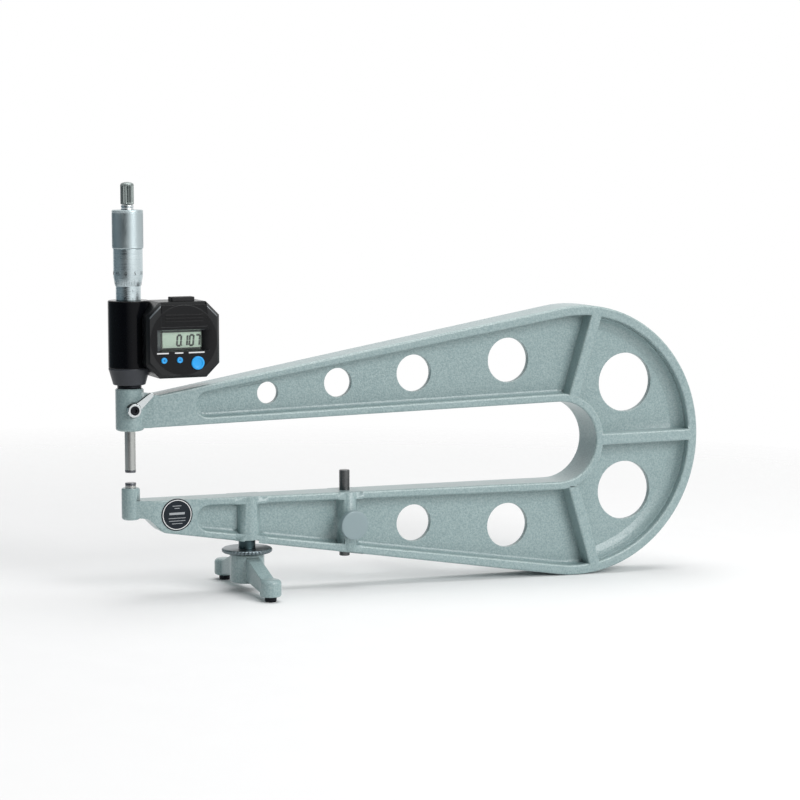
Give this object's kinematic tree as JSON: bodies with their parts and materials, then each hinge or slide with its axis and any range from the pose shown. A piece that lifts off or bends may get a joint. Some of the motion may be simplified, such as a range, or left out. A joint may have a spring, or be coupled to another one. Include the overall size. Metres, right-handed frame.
{
  "type": "sheet metal micrometer",
  "caption": "Deep throat digital micrometer for sheet metal: cast U frame with lightening holes, anvil, spindle head with display, levelling foot and support rod.",
  "frame": {"origin": "under the middle of the part, at its lowest point", "axes": "+X along the throat from the spindle to the closed end, +Y from the display side to the back, +Z along the spindle from the anvil to the head"},
  "size_m": [0.3844, 0.0908, 0.2473],
  "materials": {
    "cast_paint": "satin",
    "steel": "satin",
    "carbide": "satin",
    "satin_chrome": "satin",
    "dark_steel": "satin",
    "brass": "satin",
    "black_gloss": "gloss",
    "black_plastic": "matte",
    "grey_cone": "satin",
    "dial_black": "satin",
    "glass": "polished",
    "lcd": "satin",
    "board": "satin",
    "blue": "gloss",
    "rubber": "matte",
    "plate_black": "matte",
    "knob_grey": "satin",
    "disc_steel": "satin"
  },
  "bodies": {
    "frame": {"u_frame": "cast_paint", "anvil": "steel", "anvil_tip": "carbide", "name_plate": "plate_black", "head_stem": "dark_steel", "mounting_cone": "grey_cone", "head_barrel": "black_gloss", "outer_sleeve": "satin_chrome", "inner_sleeve": "steel", "adjusting_nut": "steel", "encoder_stator": "board", "display_bezel": "black_plastic", "dial_plate": "dial_black", "lcd_window": "glass", "lcd_panel": "lcd", "circuit_board": "board", "battery": "steel", "battery_contact": "brass", "display_case": "black_plastic", "case_screws": "dark_steel"},
    "spindle": {"spindle": "steel", "spindle_tip": "carbide"},
    "thimble": {"thimble": "satin_chrome", "thimble_grip": "satin_chrome", "ratchet_base": "satin_chrome", "ratchet_screw": "steel", "ratchet_spring": "steel"},
    "ratchet": {"ratchet_knob": "satin_chrome"},
    "encoder": {"encoder_rotor": "brass"},
    "spindle_clamp": {"clamp_lever": "satin_chrome", "clamp_screw": "dark_steel"},
    "preset": {"preset_button": "blue"},
    "hold": {"hold_button": "blue"},
    "zero": {"zero_button": "blue"},
    "battery_door": {"battery_cover": "black_plastic"},
    "connector_cap": {"connector_cap": "rubber"},
    "foot_carrier": {"foot_washer": "brass"},
    "foot_adjuster": {"foot_screw": "disc_steel", "foot_retainer": "dark_steel"},
    "foot_bar": {"foot_bracket": "cast_paint", "foot_tip_front": "dark_steel", "foot_tip_back": "dark_steel"},
    "work_rod": {"support_rod": "dark_steel"},
    "rod_pad": {"rod_pad": "brass"},
    "rod_clamp": {"rod_knob": "knob_grey"}
  },
  "joints": [
    {"name": "spindle_travel", "type": "slide", "parent": "frame", "child": "spindle", "axis": [0, 0, 1], "range_m": [-0.0061, 0.0189]},
    {"name": "thimble_turn", "type": "hinge", "parent": "spindle", "child": "thimble", "pos_m": [-0.1803, 0, 0.2], "axis": [0, 0, 1], "range_deg": [-4390, 13600]},
    {"name": "ratchet_slip", "type": "hinge", "parent": "thimble", "child": "ratchet", "pos_m": [-0.1803, 0, 0.24], "axis": [0, 0, 1], "continuous": true},
    {"name": "encoder_turn", "type": "hinge", "parent": "frame", "child": "encoder", "pos_m": [-0.1803, 0, 0.148], "axis": [0, 0, 1], "range_deg": [-4390, 13600]},
    {"name": "clamp_turn", "type": "hinge", "parent": "frame", "child": "spindle_clamp", "pos_m": [-0.1808, 0, 0.1167], "axis": [0, 1, 0], "range_deg": [0, 80]},
    {"name": "preset_press", "type": "slide", "parent": "frame", "child": "preset", "axis": [0, 1, 0], "range_m": [0, 0.0006], "stiffness_N_per_m": 300, "springref_m": -0.001},
    {"name": "hold_press", "type": "slide", "parent": "frame", "child": "hold", "axis": [0, 1, 0], "range_m": [0, 0.0006], "stiffness_N_per_m": 300, "springref_m": -0.001},
    {"name": "zero_press", "type": "slide", "parent": "frame", "child": "zero", "axis": [0, 1, 0], "range_m": [0, 0.0006], "stiffness_N_per_m": 300, "springref_m": -0.001},
    {"name": "battery_cover_slide", "type": "slide", "parent": "frame", "child": "battery_door", "axis": [0, 0, 1], "range_m": [0, 0.014]},
    {"name": "connector_cap_pull", "type": "slide", "parent": "frame", "child": "connector_cap", "axis": [0, 0, 1], "range_m": [0, 0.006]},
    {"name": "foot_height", "type": "slide", "parent": "frame", "child": "foot_carrier", "axis": [0, 0, 1], "range_m": [-0.015, 0.0015]},
    {"name": "foot_turn", "type": "hinge", "parent": "foot_carrier", "child": "foot_adjuster", "pos_m": [-0.1088, 0, 0.03], "axis": [0, 0, 1], "range_deg": [-3600, 360]},
    {"name": "foot_swivel", "type": "hinge", "parent": "foot_carrier", "child": "foot_bar", "pos_m": [-0.1088, 0, 0.02], "axis": [0, 0, 1], "continuous": true},
    {"name": "rod_slide", "type": "slide", "parent": "frame", "child": "work_rod", "axis": [0, 0, 1], "range_m": [-0.0115, 0.025]},
    {"name": "rod_clamp_travel", "type": "slide", "parent": "frame", "child": "rod_pad", "axis": [0, -1, 0], "range_m": [0, 0.001]},
    {"name": "rod_knob_turn", "type": "hinge", "parent": "rod_pad", "child": "rod_clamp", "pos_m": [-0.0461, 0, 0.04206], "axis": [0, -1, 0], "range_deg": [0, 449]}
  ],
  "couplings": [
    {"joint": "spindle_travel", "follows": "thimble_turn", "m_per_rad": 0.000079577},
    {"joint": "encoder_turn", "follows": "thimble_turn", "ratio": 1},
    {"joint": "foot_height", "follows": "foot_turn", "m_per_rad": 0.00023873},
    {"joint": "rod_clamp_travel", "follows": "rod_knob_turn", "m_per_rad": 0.00012732}
  ]
}
